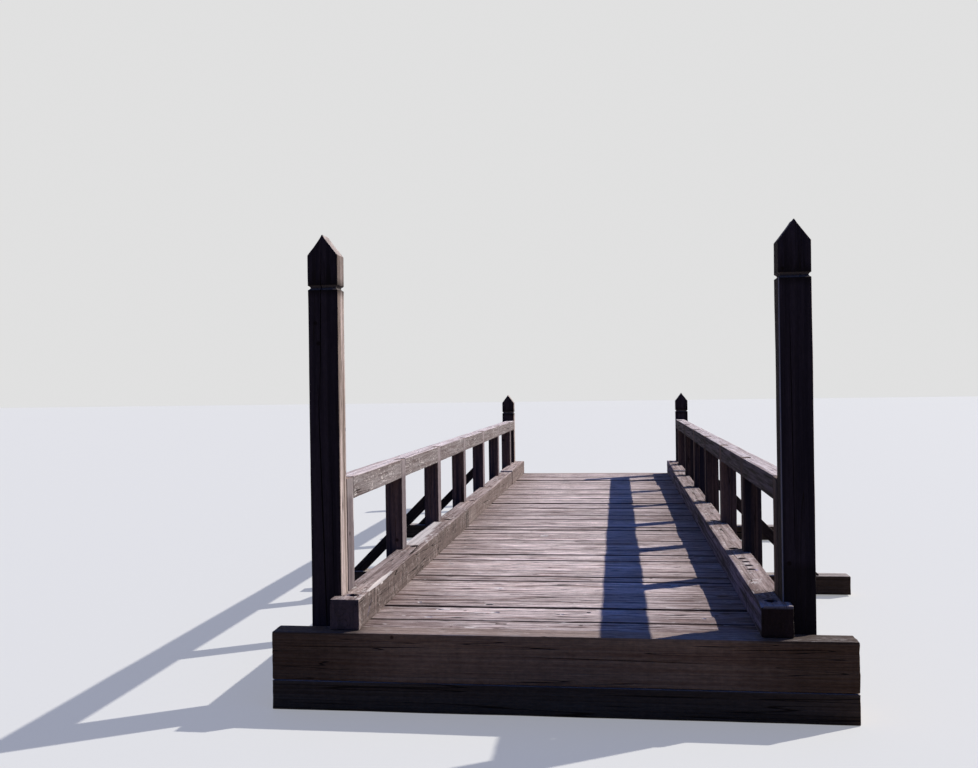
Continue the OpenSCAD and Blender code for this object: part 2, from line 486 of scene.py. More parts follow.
header_splits = ((-1.25, 0.41, 0.01, 0.9), (0.35, 0.36, -0.015, 1.3), (1.35, 0.44, 0.02, 0.6))
header_shade_past = ((1.02, 0.12), (1.10, 0.24), (1.18, 0.36), (1.28, 0.48), (1.40, 0.60))
for end in ("near", "far"):
    node = "header_" + end
    piece, low, high = flat_timber(node, "x", (0.06, 0.022, 0.022), 0.009)
    face = low.y if end == "near" else high.y
    cut_away(piece, [split((x, face, z), (1, 0, slope), (0, 0, 1), length, 0.006, 0.03)
                     for x, z, slope, length in header_splits])
    for out, darkness in header_shade_past:                       # from the middle; how dark the painted shade is
        mark(piece, "shade_and_darkening", lambda v: abs(v.x) > out, darkness)
    # painted shadow on the tops of the ends
    mark(piece, "shade_and_darkening", lambda v: v.z > high.z - 0.012 and abs(v.x) > 1.22, 0.80)
    tell_tone(piece)
    faces += done(piece, "header", "header_timber", node)
for number in (1, 2):
    node = f"outrigger_beam_{number}"
    piece, low, high = flat_timber(node, "x", (0.07, 0.022, 0.022))
    y = (low.y + high.y) / 2 + 0.01
    cut_away(piece, [split((x, y, high.z), (1, 0.02, 0), (0, 1, 0), 0.5, 0.007, 0.04)
                     for x in (low.x + 0.2, high.x - 0.2)])
    tell_tone(piece)
    faces += done(piece, "foundation", "foundation_timber", node)
print("flat timbers:", faces, "faces")

# %% [markdown]
# ## The deck
# The planks lie across the girders, about 200 mm wide and 60 mm thick, with open joints
# that let water through. Sawn boards shrink unevenly, so some joints stand wide open and
# others have stayed nearly shut. For the joints that can be told apart it is stated where
# they lie, and for most of them how wide they are. The planks between two of them share
# what is left. Some planks have a stated tone, and small shallow chips show pale. Dirt
# stays in the joints, so the planks' edges are marked to be soiled.
# One plank is modelled and ringed, then copied. Each copy is stretched to its own
# width, sunk by some millimetres, weathered, notched where a post passes, and split
# once or twice, as planks do whose heart side lies up.

# %% The planks
plank_count, section_count, board_wide = 55, 4, 0.2
seen_joints = {                                      # a joint's number; its middle, from the near end
    0: 0.175, 1: 0.398, 3: 0.807, 4: 0.994, 5: 1.145, 6: 1.300, 8: 1.752, 9: 1.934, 11: 2.388, 12: 2.536,
    13: 2.678, 14: 2.816, 15: 2.976, 16: 3.232, 17: 3.404, 18: 3.584, 19: 3.830, 20: 4.018, 21: 4.308,
    22: 4.566, 23: 4.758, 26: 5.374, 28: 5.742, 31: 6.430, 34: 6.940, 37: 7.505, 39: 8.026, 41: 8.426,
    43: 8.710, 46: 9.458, 50: 10.122, 52: 10.658, 55: 11.275}
open_joints = {                                      # a joint's number; its width, 0 for 3 mm and 1 for 12 mm
    1: 0.65, 3: 1.2, 5: 0.12, 6: 0.08, 8: 1.1, 9: 0.75, 11: 0.1, 12: 0.3, 13: 0.85, 14: 0.35, 15: 1.0,
    18: 0.6, 19: 0.9, 20: 0.8, 21: 1.5, 22: 1.6, 23: 1.0, 26: 0.6, 28: 0.7, 31: 0.9, 34: 1.5, 37: 0.7,
    39: 0.5, 43: 0.8, 46: 0.4, 50: 1.6, 52: 0.6}
plank_tones = {1: 0.15, 2: 0.35, 3: 0.7, 4: 0.5, 5: 0.2, 6: 0.25, 7: 0.8, 8: 0.95, 9: 0.15, 10: 0.3, 12: 0.95,
               13: 0.3, 17: 0.1, 19: 0.1, 20: 0.9}
chips = (                                            # from the middle; from the near end; length
    (-0.848, 0.730, 0.05), (-0.441, 0.665, 0.04), (-0.880, 0.470, 0.05), (0.009, 0.640, 0.03),
    (0.190, 0.705, 0.03), (-0.520, 0.870, 0.06), (-1.03, 0.92, 0.03), (-1.07, 1.32, 0.04),
    (-0.51, 1.43, 0.03), (-0.75, 2.05, 0.04), (-1.06, 2.46, 0.04), (-0.68, 3.32, 0.05), (0.95, 0.55, 0.03),
    (0.82, 1.65, 0.05), (-0.35, 4.16, 0.05), (-0.95, 5.06, 0.05))
ends = sorted(seen_joints)
joint = [None] * (plank_count + 1)                   # the middle of the joint after each plank
for first, last in zip(ends, ends[1:]):
    for k in range(first, last + 1):
        share = (k - first) / (last - first)
        joint[k] = seen_joints[first] * (1 - share) + seen_joints[last] * share
opened = [open_joints.get(k, random.uniform(0.10, 0.38)) for k in range(plank_count + 1)]
opened[0] = opened[plank_count] = 0.0
gaps = [0.0015 + 0.0045 * wide for wide in opened]   # half of each joint's width
soiled = [0.0] + [min(1.0, 0.2 + 0.8 * wide) for wide in opened[1:]]
deck_low, deck_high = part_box("deck_section_2")
board_low = Vector((deck_low.x, -board_wide / 2, deck_low.z - deck_top))
board_high = Vector((deck_high.x, board_wide / 2, 0))
board = squared("board", board_low, board_high, (0.075, 0.025, 0.03))
print("board pattern:", len(board.data.polygons), "faces,", round(deck_high.x - deck_low.x, 3), "m long")

# %% Copy the planks and join them by deck section
posts = [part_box("gate_post_" + side) for side in ("left", "right")]
posts += [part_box("low_post_" + side) for side in ("left", "right")]
posts += [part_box(f"rail_post_{side}_{i}") for side in ("left", "right") for i in range(1, 8)]
room = Vector((0.003, 0.003, 0.02))                  # clearance round a post


def post_tools(low, high):
    """Cutters for the posts that pass through this box."""
    tools = []
    for post_low, post_high in posts:
        if all(post_low[a] - room[a] < high[a] and post_high[a] + room[a] > low[a] for a in range(3)):
            tools.append(block("post room", post_low - room, post_high + room))
    return tools


k = 0
faces = 0
for section in range(1, section_count + 1):
    last = section * plank_count // section_count
    planks = []
    while k < last:
        start, stop = near + joint[k] + gaps[k], near + joint[k + 1] - gaps[k + 1]
        top = deck_top - 0.0075 * opened[k + 1]
        stretch = (stop - start) / board_wide
        plank = copy_of(board, f"plank_{k + 1}", (0, (start + stop) / 2, top), (1, stretch, 1))
        weather(plank, "x", 0.005, 0.005)
        cut_away(plank, post_tools((deck_low.x, start, deck_low.z), (deck_high.x, stop, deck_top)))
        for _ in range(random.choice((1, 1, 2, 2))):
            at = (random.uniform(-1.1, 1.1), random.uniform(start + 0.04, stop - 0.04), top)
            slope, length = random.uniform(-0.012, 0.012), random.uniform(0.3, 1.5)
            cut_away(plank, [split(at, (1, slope, 0), (0, 1, 0), length, random.uniform(0.006, 0.011), 0.02)])
        mark(plank, "soil", lambda v: v.y < start + 0.012, soiled[k])
        mark(plank, "soil", lambda v: v.y > stop - 0.012, soiled[k + 1])
        for x, y, length in chips:
            if start + 0.03 < near + y < stop - 0.03:
                wear_off(plank, (x, near + y, top), (length * 0.6, 0.015, 0.008), 0.9)
        drawn = random.uniform(0.35, 1.0) if k < 22 else random.uniform(0.0, 0.75)
        tell_tone(plank, plank_tones.get(k + 1, drawn))
        planks.append(plank)
        k += 1
    piece = joined(planks, f"deck_planks_{section}")
    faces += done(piece, "deck", "deck_plank", f"deck_section_{section}")
bpy.data.objects.remove(board)
print(k, "planks,", faces, "faces")

# %% [markdown]
# ## The kerbs
# A kerb of squared timber lies along each edge of the deck and holds the planks down.
# It is in three lengths; the last is a little higher. Each post is let into its outer
# face, so the kerb is notched there. Beside each end post and each rail post but the
# first, a round recess takes the nut of a bolt that goes down into the girder.
# Feet have worn the inner arris. By the near end of the left kerb a long flake has gone
# out of it. A long egg-shaped cutter that hangs over the arris and dips into it leaves
# just such a flat hollow, and its faces are marked, so that the material can make them pale.
# The right kerb has four short gouges across its top, with painted shade inside them and a
# painted highlight on each far lip. Its near end carries painted shade, and its top a painted
# shadow wherever a post shades it. One stretch of the left kerb's top, behind the second post,
# has bleached far more than the rest.

# %% The kerbs
first_bolt, last_bolt, past_post = 0.200, 11.250, 0.165   # from the near end, twice; from a post's near face
bolt_y = [near + first_bolt] + [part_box(f"rail_post_left_{i}")[0].y + past_post for i in range(2, 8)]
bolt_y.append(near + last_bolt)
bolt_x, recess, sunk_head = 1.330, 0.040, 0.035      # from the middle; radius; depth
bolts = []


def round_hole(x, y, top, radius, depth):
    """The cutter of a round recess; it stands 50 mm out of the top."""
    return fresh(bpy.ops.mesh.primitive_cylinder_add, vertices=32, radius=radius, depth=depth + 0.05,
                 location=(x, y, top - depth / 2 + 0.025))


worn_arrises = {                                     # from the start; half length; over top; radius; pale
    "kerb_left_1": [(0.63, 0.60, 0.052, 0.066, 1.0), (0.0, 0.60, 0.030, 0.0335, 0.8)],
    "kerb_right_1": [(0.0, 0.10, 0.012, 0.028, 0.35)],
}
gouges = ((1.336, 1.705), (1.352, 1.567), (1.355, 1.416), (1.348, 1.256))
kerb_tones = {"kerb_left_1": 0.33, "kerb_left_2": 0.78, "kerb_left_3": 0.97, "kerb_right_1": 0.55}

faces = 0
for side, out in (("left", -1), ("right", 1)):
    for number in (1, 2, 3):
        node = f"kerb_{side}_{number}"
        low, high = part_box(node)
        if node == "kerb_left_2":
            high.x -= 0.008                              # it stands a little further out than the first
        piece = squared(node + "_timber", low, high, (0.024, 0.055, 0.024))
        weather(piece, "y", 0.006, 0.008)
        cut_away(piece, post_tools(low, high))
        for y in bolt_y:
            if low.y < y < high.y:
                cut_away(piece, [round_hole(out * bolt_x, y, high.z, recess, sunk_head)])
                bolts.append(Vector((out * bolt_x, y, high.z - sunk_head)))
        inner = low.x if out > 0 else high.x
        for y, length, high_over, radius, pale in worn_arrises.get(node, []):
            wear_off(piece, (inner, low.y + y, high.z + high_over), (radius, length, radius), pale)
        if node == "kerb_right_1":
            cut_away(piece, [split((x, near + y, high.z), (1, 0.1, 0), (0, 1, 0), 0.066, 0.060, 0.034)
                             for x, y in gouges])
            for x, y in gouges:
                gouge = Vector((x, near + y))
                # painted shade inside each gouge, and a painted highlight on its far lip
                mark(piece, "shade_and_darkening", lambda v: v.z < high.z - 0.012 and (v.xy - gouge).length < 0.036, 0.8)
                mark(piece, "bleach_and_highlight", lambda v: v.z > high.z - 0.01 and abs(v.x - x + 0.01) < 0.013
                     and 0.03 < v.y - near - y < 0.085, 0.9)
            # painted shade on the near end face, and a painted highlight along its top edge
            mark(piece, "shade_and_darkening", lambda v: v.y < low.y + 0.011 and v.z < high.z - 0.010, 0.78)
            mark(piece, "bleach_and_highlight", lambda v: v.z > high.z - 0.009 and v.y < low.y + 0.009, 0.4)
        if node == "kerb_left_1":
            cut_away(piece, [split((-1.25, near + 0.33, deck_top + 0.085), (0, 0.085, 0.065),
                                   (0, -0.065, 0.085), 0.17, 0.014, 0.03)])
            # the inner face made darker low down on its last 0.24 m
            mark(piece, "shade_and_darkening", lambda v: v.x > high.x - 0.02 and v.y > high.y - 0.24
                 and v.z < high.z - 0.01, 0.40)
            mark(piece, "wear_and_shade", lambda at: at.y < low.y + 0.010, 0.06)
            mark(piece, "bleach_and_highlight", lambda v: v.z > high.z - 0.01 and 2.24 < v.y - near < 3.68
                 and v.x < -1.30 - 0.05 * (v.y - near - 2.24))
        if node == "kerb_left_2":
            mark(piece, "bleach_and_highlight", lambda v: v.x > high.x - 0.02 and v.y < low.y + 0.6
                 and v.z < deck_top + 0.14, 0.07)
        if number == 3:
            # a painted highlight on the near top edge of each last length
            mark(piece, "bleach_and_highlight", lambda v: v.z > high.z - 0.014 and v.y < low.y + 0.03)
        if side == "right":
            for shade in [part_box(f"rail_post_right_{i}")[0].y for i in range(1, 8)]:
                # painted shadow on the top where each post's shadow falls
                mark(piece, "shade_and_darkening", lambda v: v.z > high.z - 0.012 and shade - 0.13 < v.y < shade + 0.17, 0.4)
        tell_tone(piece, kerb_tones.get(node))
        faces += done(piece, "kerb", "kerb_timber", node)
print("kerbs:", faces, "faces,", len(bolts), "recesses")

# %% [markdown]
# ## The bolts
# At the bottom of each recess sits what holds the kerb: a thick round washer, a six-sided
# nut and the end of the rod. It is one pattern of three primitives, each with its
# edges bevelled so that the iron catches light, copied to every recess.

# %% One bolt, copied
def turned_part(sides, radius, low, high, edge):
    """A round or six-sided part between two heights, its edges bevelled."""
    part = fresh(bpy.ops.mesh.primitive_cylinder_add, vertices=sides, radius=radius, depth=high - low,
                 location=(0, 0, (low + high) / 2))
    bevel = part.modifiers.new("edge", "BEVEL")
    bevel.width, bevel.segments, bevel.limit_method, bevel.angle_limit = edge, 2, "ANGLE", math.radians(50)
    apply_all(part)
    return part


washer = turned_part(32, 0.034, 0.0, 0.005, 0.0012)
nut = turned_part(6, 0.0208, 0.0045, 0.0165, 0.0015)
rod = turned_part(20, 0.0118, 0.012, 0.021, 0.0015)
bolt = joined([washer, nut, rod], "bolt")
for number, place in enumerate(bolts, 1):
    piece = copy_of(bolt, f"kerb_bolt_{number}", place)
    tell_tone(piece)
    done(piece, "iron", "bolt_iron")
print(len(bolts), "bolts of", len(bolt.data.polygons), "faces")
bpy.data.objects.remove(bolt)

# %% [markdown]
# ## The rail posts
# Seven posts a side stand against the outside of the bridge. Each ends in a shoulder that
# carries the rail, and the inner half goes on up as a tongue, let into the rail's
# inner face. So the post is a box up to the shoulder, bisected along the step, and the
# top face on the inner side is extruded to just under the rail's top.
# The pattern is the first post on the right; the others are copies, mirrored for the left,
# each weathered and split in its own place.

# %% The rail posts
low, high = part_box("rail_post_right_1")
rail_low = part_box("rail_right")[0]
step, tongue_under = 1.465, 0.004                    # where the tongue ends; how far its top stays down
post_middle, post_deep = 1.4655, 0.160
post = block("rail_post", low, (high.x, high.y, rail_low.z))
pick(post, "FACE", lambda face: True)
bpy.ops.mesh.bisect(plane_co=(step, 0, 0), plane_no=(1, 0, 0))
pick(post, "FACE", lambda face: face.normal.z > 0.9 and face.calc_center_median().x < step)
bpy.ops.mesh.extrude_region_move(TRANSFORM_OT_translate={"value": (0, 0, high.z - tongue_under - rail_low.z)})
for axis, cell in enumerate((0.024, 0.027, 0.055)):
    cut_rings(post, axis, cell)

faces = 0
post_tones = {"left": (0.50, 0.68, 0.84, 0.66, 0.90, 0.75, 0.55),
              "right": (0.06, 0.10, 0.55, 0.20, 0.35, 0.12, 0.30)}
for side, out in (("left", -1), ("right", 1)):
    for number in range(1, 8):
        node = f"rail_post_{side}_{number}"
        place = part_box(node)[0]
        piece = copy_of(post, node + "_timber", (0, place.y - low.y, 0), (out, 1, 1))
        weather(piece, "z", 0.003, 0.006)
        tools = []
        for face_y in (place.y, place.y + post_deep):
            at = (out * (post_middle + random.uniform(-0.03, 0.03)), face_y, random.uniform(0.75, 1.05))
            lean, length = random.uniform(-0.03, 0.03), random.uniform(0.35, 0.75)
            tools.append(split(at, (lean, 0, 1), (1, 0, 0), length, random.uniform(0.003, 0.006), 0.03))
        cut_away(piece, tools)
        mark(piece, "bleach_and_highlight", lambda v: v.z > rail_low.z + 0.01, 0.17 if side == "left" else 0.04)
        mark(piece, "peel", lambda v: v.z > rail_low.z)
        if node == "rail_post_left_1":
            mark(piece, "bleach_and_highlight", lambda v: v.y > place.y + 0.145 and v.x > -1.40
                 and 0.68 < v.z - deck_top < 0.84, 0.75)
        tell_tone(piece, post_tones[side][number - 1])
        faces += done(piece, "rail_post", "post_timber", node)
bpy.data.objects.remove(post)
print("rail posts:", faces, "faces")

# %% [markdown]
# ## The rails
# Each rail runs in one line from the tall post to the low post at the far end. Its inner
# face is housed to half its width for every tongue, and the joints show as pairs of upright
# lines. The cutters are the tongues' boxes, a hair wider. The left rail's face peels in
# short stretches, which are marked.

# %% The rails
hair, past = 0.001, 0.05                             # a housing is this much wider; a cutter stands out so far
top_splits = ((1.430, 2.55, 4.9), (1.482, 6.3, 1.4), (1.450, 9.2, 1.6))
peeled = (0.53, 1.00, 1.38, 1.62, 2.26, 2.83, 3.59, 4.9, 6.3, 8.2)          # from the near end
faces = 0
for side, out in (("left", -1), ("right", 1)):
    node = "rail_" + side
    low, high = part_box(node)
    piece = squared(node + "_timber", low, high, (0.024, 0.055, 0.024))
    weather(piece, "y", 0.005, 0.007)
    tools = []
    for number in range(1, 8):
        post_low, post_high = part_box(f"rail_post_{side}_{number}")
        ends = sorted((out * (rail_low.x - past), out * (step + hair)))
        tools.append(block("housing", (ends[0], post_low.y - hair, low.z - past),
                           (ends[1], post_high.y + hair, high.z + past)))
    cut_away(piece, tools)
    cut_away(piece, [split((out * x, low.y + y, high.z), (-0.012 * out, 1, 0), (1, 0, 0), length, 0.007, 0.02)
                     for x, y, length in top_splits])    # x from the middle, y from the rail's start
    if side == "left":
        mark(piece, "peel", lambda v: v.z < high.z - 0.03 and any(abs(v.y - near - y) < 0.11 for y in peeled))
    tell_tone(piece, 0.80 if side == "left" else 0.0)
    faces += done(piece, "rail", "rail_timber", node)
print("rails:", faces, "faces")

# %% [markdown]
# ## The braces
# A brace runs at 45 degrees from an outrigger beam up to a rail post and keeps the
# railing upright. A long box is turned about Y, and two bisects trim it: one upright along
# the post's outer face, one level on the beam. Both keep the far side and fill the
# cut, so the brace stays closed and bears on its whole end.

# %% The braces
thick, uncut = 0.100, 1.6
foot_x, foot_z, head_x, head_z = 2.310, 0.190, 1.538, 0.962      # the ends of the upper edge
faces = 0
for side, out in (("left", -1), ("right", 1)):
    for number in (1, 2):
        node = f"brace_{side}_{number}"
        low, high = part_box(node)
        foot = Vector((out * foot_x, (low.y + high.y) / 2, foot_z))
        head = Vector((out * head_x, foot.y, head_z))
        middle = (foot + head) / 2 - Vector((out, 0, 1)).normalized() * thick / 2
        piece = fresh(bpy.ops.mesh.primitive_cube_add, size=1, scale=(uncut, high.y - low.y, thick))
        piece.name = piece.data.name = node + "_timber"
        for axis, cell in enumerate((0.05, 0.024, 0.024)):
            cut_rings(piece, axis, cell)
        alone(piece)
        piece.location, piece.rotation_euler = middle, (0, out * math.radians(45), 0)
        bpy.ops.object.transform_apply(location=True, rotation=True, scale=True)
        for at, normal in ((head, (out, 0, 0)), (foot, (0, 0, 1))):
            pick(piece, "FACE", lambda face: True)
            bpy.ops.mesh.bisect(plane_co=at, plane_no=normal, use_fill=True, clear_inner=True)
        bpy.ops.object.mode_set(mode="OBJECT")
        weather(piece, side + "_brace", 0.005, 0.005)
        tell_tone(piece)
        faces += done(piece, side + "_brace", "post_timber", node)
print("braces:", faces, "faces")

# %% [markdown]
# ## The gate posts
# The four end posts have the bridge's only ornament: a small gable on top, its ridge
# along the bridge, and a V-groove cut all round below it. Two stand tall at the near end,
# two are cut low at the far end, and all four share one head.
# The head is made once on a short post at the origin. Rings across the top are
# raised, each in its turn, to make the gable; the middle one goes up a little more, for
# rounding the ridge will take that off again. Three bisects mark the groove and the middle ring
# is drawn in. Each copy then gets its own leg by moving the bottom face down.
# Above the groove the faces take less of the pale wood, and in the groove, under the head,
# they are marked for painted shade, so that they stay dark. The tall posts have split in long
# lines, and the right one has painted shade on its inner side, is darker towards its foot,
# and is pale on its near inner arris.

# %% The head, once
wide, deep, gable, groove_low, groove_tall, groove_deep = 0.206, 0.160, 0.135, 0.348, 0.030, 0.020
head = block("post_head", (-wide / 2, -deep / 2, -1.0), (wide / 2, deep / 2, -gable))
cut_rings(head, 0, wide / 10)                        # an even number, so one line of vertices is the ridge
cut_rings(head, 1, 0.024)
columns = sorted({round(v.co.x, 4) for v in head.data.vertices})
for x in columns[1:-1]:
    raised = gable * (1 - abs(x) / (wide / 2)) + (0.004 if abs(x) < 0.002 else 0)
    pick(head, "VERT", lambda v: v.co.z > -gable - 0.01 and abs(v.co.x - x) < 0.002)
    bpy.ops.transform.translate(value=(0, 0, raised))
for z in (-0.5, 0, 0.5):
    pick(head, "FACE", lambda face: True)
    bpy.ops.mesh.bisect(plane_co=(0, 0, -groove_low + z * groove_tall), plane_no=(0, 0, 1))
pick(head, "VERT", lambda v: abs(v.co.z + groove_low) < 0.002)
bpy.ops.transform.resize(value=(1 - 2 * groove_deep / wide, 1 - 2 * groove_deep / deep, 1),
                         center_override=(0, 0, -groove_low))
bpy.ops.object.mode_set(mode="OBJECT")
# the head above the groove takes less of the pale wood; the groove gets painted shade
mark(head, "wear_and_shade", lambda at: at.z + groove_low > 0, -0.32)
mark(head, "wear_and_shade", lambda at: abs(at.z + groove_low) < groove_tall / 2, -1.0)
print("head:", len(columns), "columns,", len(head.data.polygons), "faces")

# %% Four posts from it
faces = 0
low_rise = 0.041                                     # the low posts' groove sits this much higher
splits = {                                           # x; height of the middle; lean; length; width
    "gate_post_left": [(-1.516, 2.45, 0.022, 1.15, 0.008), (-1.516, 1.20, -0.026, 1.75, 0.010),
                       (-1.45, 1.10, -0.01, 0.9, 0.004)],
    "gate_post_right": [(1.47, 1.75, -0.008, 1.5, 0.006), (1.55, 1.15, 0.01, 1.1, 0.005)],
    "low_post_left": [(-1.50, 1.05, 0.0, 0.7, 0.006)],
    "low_post_right": [(1.51, 1.0, 0.01, 0.8, 0.006)],
}
for node, cuts in splits.items():
    low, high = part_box(node)
    piece = copy_of(head, node + "_timber", ((low.x + high.x) / 2, (low.y + high.y) / 2, high.z))
    rise = low_rise if node.startswith("low") else 0
    if rise:
        pick(piece, "VERT", lambda v: abs(v.co.z - high.z + groove_low) < groove_tall)
        bpy.ops.transform.translate(value=(0, 0, rise))
    pick(piece, "VERT", lambda v: v.co.z < high.z - 0.99)
    bpy.ops.transform.translate(value=(0, 0, low.z - (high.z - 1.0)))
    bpy.ops.object.mode_set(mode="OBJECT")
    cut_rings(piece, 2, 0.055)
    weather(piece, "z", 0.008, 0.007)
    for x, z, lean, length, width in cuts:
        for face in (low.y, high.y):
            cut_away(piece, [split((x, face, z), (lean, 0, 1), (1, 0, 0), length, width, 0.035)])
    inner = high.x if low.x < 0 else low.x
    middle = (inner, (low.y + high.y) / 2 + 0.02, (low.z + high.z) / 2)
    cut_away(piece, [split(middle, (0, 0.01, 1), (0, 1, 0), (high.z - low.z) * 0.4, 0.004, 0.03)])
    if node == "gate_post_right":
        mark(piece, "wear_and_shade", lambda at: at.x < low.x + 0.014 and at.y < low.y + 0.014
             and at.z < high.z - 0.37, 0.55)
        # painted shade on the inner face, and the post made darker towards its foot
        mark(piece, "shade_and_darkening", lambda v: v.x < low.x + 0.012 and v.y > low.y + 0.012, 0.45)
        mark(piece, "shade_and_darkening", lambda v: v.z < deck_top + 0.45, 0.65)
    # painted shade in the groove, under the head
    mark(piece, "shade_and_darkening", lambda v: abs(v.z - high.z + groove_low - rise) < 0.02, 0.85)
    tell_tone(piece)
    faces += done(piece, "gate_post", "post_timber", node)
bpy.data.objects.remove(head)
for guide in grain_guide.values():
    bpy.data.objects.remove(guide)
print("gate posts:", faces, "faces")

# %% [markdown]
# ## Old timber as a material
# The wood is pine that was soaked in creosote, which made it dark brown to black, and
# has then stood in the sun for years. Sun and rain turn the fibres silver grey, but only
# where they reach: on tops and on the sunny side. The shaded sides keep the dark brown.
# So the material mixes two woods, a bleached and a dark one, by how far a face is turned
# to the sun side, with noise in the border. The dark wood is partly that creosote and
# partly painted shade: faces turned from the lamp are painted darker than their wood.
# Each pattern is a noise that is read through a Mapping node of the Texture kind: its
# rotation turns X into the grain, and its scale is the size of one feature in metres,
# along the grain and across it. A fourth noise coordinate comes from the timber's tone,
# so neighbours have another figure. The usual sizes are below, and a finish may set its own.
#
# - board: slow change along a timber, 2.4 m by 100 mm
# - streak: early and late wood, 1.5 m by 13 mm
# - fibre: raised fibres, 160 by 2.2 mm; real ones are finer, but wouldn't show
# - speck: lighter and darker specks, 50 by 16 mm
# - mottle: patches of 220 by 160 mm, where sun, rain, dirt and flakes come and go
# - flake: loose pale fibres, ragged strokes 100 by 12 mm, or on a kerb 40 by 22 mm
# - check: hair splits, where a noise crosses its middle value, 2.6 m by 50 mm
# - knots: a Voronoi cell every 0.24 m, dark within 11 mm of its point and fading by 18 mm

# %% The timber material
sun_side = Vector((0.76, 0.25, 0.60)).normalized()


def weathered_pine(name, grain, bleached, streaked, dark, dark_streak, flakes=0.3, checks=0.014, contrast=1.0,
                   sides=0.8, streak=(1.5, 0.013), crisp=0.14, paler=0.0, flake_colour="#e3dad4",
                   flake=(0.10, 0.012), flake_from=0.53, side_flakes=0.3, dirt=None, check=(2.6, 0.050),
                   fibre=(0.16, 0.0022), speck=(0.05, 0.016), speckle=0.22, rain=(0.9, 1.1), calm=0.0,
                   own_range=(0.86, 1.12), arris_colour="#cfc3bd"):
    """Creosoted pine, bleached on the sun side: two colours for a lit face, and two dark ones, partly creosote
    and partly painted shade, for a shaded one.
    """
    material = bpy.data.materials.new(name)
    tree = new_tree(material)
    turn = grain_turn[grain]
    place = add(tree, "TexCoord", out=3)             # Object coordinates
    marks = {kind: add(tree, "Attribute", attribute_name=kind, out=2)
             for kind in ("tone", "wear_and_shade", "shade_and_darkening", "peel", "bleach_and_highlight")}
    seed = add(tree, "Math", (marks["tone"], 40.0), operation="MULTIPLY")
    pattern = {}
    for layer, (along, across, detail, rough) in {
        "board": (2.4, 0.10, 3, 0.5), "streak": (*streak, 5, 0.6), "fibre": (*fibre, 2, 0.5),
        "speck": (*speck, 3, 0.7), "check": (*check, 1, 0.4), "mottle": (0.22, 0.16, 4, 0.6),
        "flake": (*flake, 3, 0.6),
    }.items():
        laid = add(tree, "Mapping", {"Vector": place, "Rotation": turn, "Scale": (along, across, across)},
                   vector_type="TEXTURE")
        swirl = 0.8 if layer == "flake" else 0.0
        sockets = {"Vector": laid, "W": seed, "Scale": 1.0, "Detail": detail, "Roughness": rough,
                   "Distortion": swirl}
        pattern[layer] = add(tree, "TexNoise", sockets, noise_dimensions="4D")

    # the two woods, each with its streaks: the lit side's, and the shaded side's, whose dark colours are
    # partly painted shade
    bands = add(tree, "MapRange", (pattern["streak"], 0.5 - paler - crisp, 0.5 - paler + crisp, 0.0, 1.0))
    slow = add(tree, "MapRange", (pattern["board"], 0.3, 0.7, -0.25, 0.25))
    mixed = add(tree, "Math", (bands, slow), operation="ADD", use_clamp=True)
    normal = add(tree, "NewGeometry", out=1)
    top = add(tree, "SeparateXYZ", (normal,), out=2)
    by_grain = add(tree, "VectorRotate", {"Vector": normal, "Rotation": turn}, rotation_type="EULER_XYZ",
                   invert=True)
    by_grain = add(tree, "VectorMath", (by_grain,), operation="ABSOLUTE")
    ends, sides_1, sides_2 = add(tree, "SeparateXYZ", (by_grain,)).node.outputs
    end_grain = add(tree, "MapRange", (ends, 0.75, 0.95, 0.0, 1.0))
    mixed = add(tree, "Mix", {0: end_grain, 2: mixed, 3: 0.35}, data_type="FLOAT")
    quiet = add(tree, "MapRange", (top, 0.3, 0.9, calm, 0.0))
    faint = add(tree, "Mix", {0: quiet, 2: mixed, 3: 0.5}, data_type="FLOAT")
    lit_side_wood = add(tree, "Mix", {0: faint, 6: linear(streaked), 7: linear(bleached)}, **as_colour)
    shaded_side_wood = add(tree, "Mix", {0: mixed, 6: linear(dark), 7: linear(dark_streak)}, **as_colour)

    # rain runs down the upright faces, in lines that come and go
    lines = add(tree, "Mapping", {"Vector": place, "Scale": (0.045, 0.045, 0.30)}, vector_type="TEXTURE")
    lines = add(tree, "TexNoise", {"Vector": lines, "Scale": 1.0, "Detail": 5.0, "Roughness": 0.7,
                                   "Distortion": 0.7})
    lines = add(tree, "MapRange", (lines, 0.35, 0.65, *rain))
    lines = add(tree, "MapRange", (pattern["mottle"], 0.38, 0.54, 1.0, lines))

    # where the sun reaches: the pale wood on faces turned to the lamp, and the dark wood, partly painted
    # shade, on the rest and on the faces marked for painted shade
    facing = add(tree, "VectorMath", (normal, sun_side), out=1, operation="DOT_PRODUCT")
    patches = add(tree, "MapRange", (pattern["mottle"], 0.3, 0.7, -0.14, 0.14))
    reach = add(tree, "Math", (facing, patches), operation="ADD")
    bleached_and_lit = add(tree, "MapRange", (reach, 0.08, 0.46, 0.0, 1.0), interpolation_type="SMOOTHSTEP")
    unshaded_share = add(tree, "MapRange", (marks["wear_and_shade"], -1.0, 0.0, 0.0, 1.0))
    bleached_and_lit = add(tree, "Math", (bleached_and_lit, unshaded_share), operation="MULTIPLY")
    wood = add(tree, "Mix", {0: bleached_and_lit, 6: shaded_side_wood, 7: lit_side_wood}, **as_colour)

    # fibres, specks, its own tone, an upright face, rain and the marks of painted shade and darkening lighten
    # or darken all of it
    level = add(tree, "MapRange", (pattern["fibre"], 0.25, 0.75, 1 - 0.22 * contrast, 1 + 0.16 * contrast))
    for value, low, high, at_low, at_high in (
            (pattern["speck"], 0.3, 0.7, 1 - speckle, 1 + speckle), (marks["tone"], 0.0, 1.0, *own_range),
            (top, 0.3, 0.9, sides, 1.0), (top, 0.1, 0.6, lines, 1.0), (marks["shade_and_darkening"], 0.0, 1.0, 1.0, 0.1)):
        factor = add(tree, "MapRange", (value, low, high, at_low, at_high))
        level = add(tree, "Math", (level, factor), operation="MULTIPLY")
    wood = add(tree, "Mix", {0: 1.0, 6: wood, 7: level}, blend_type="MULTIPLY", **as_colour)

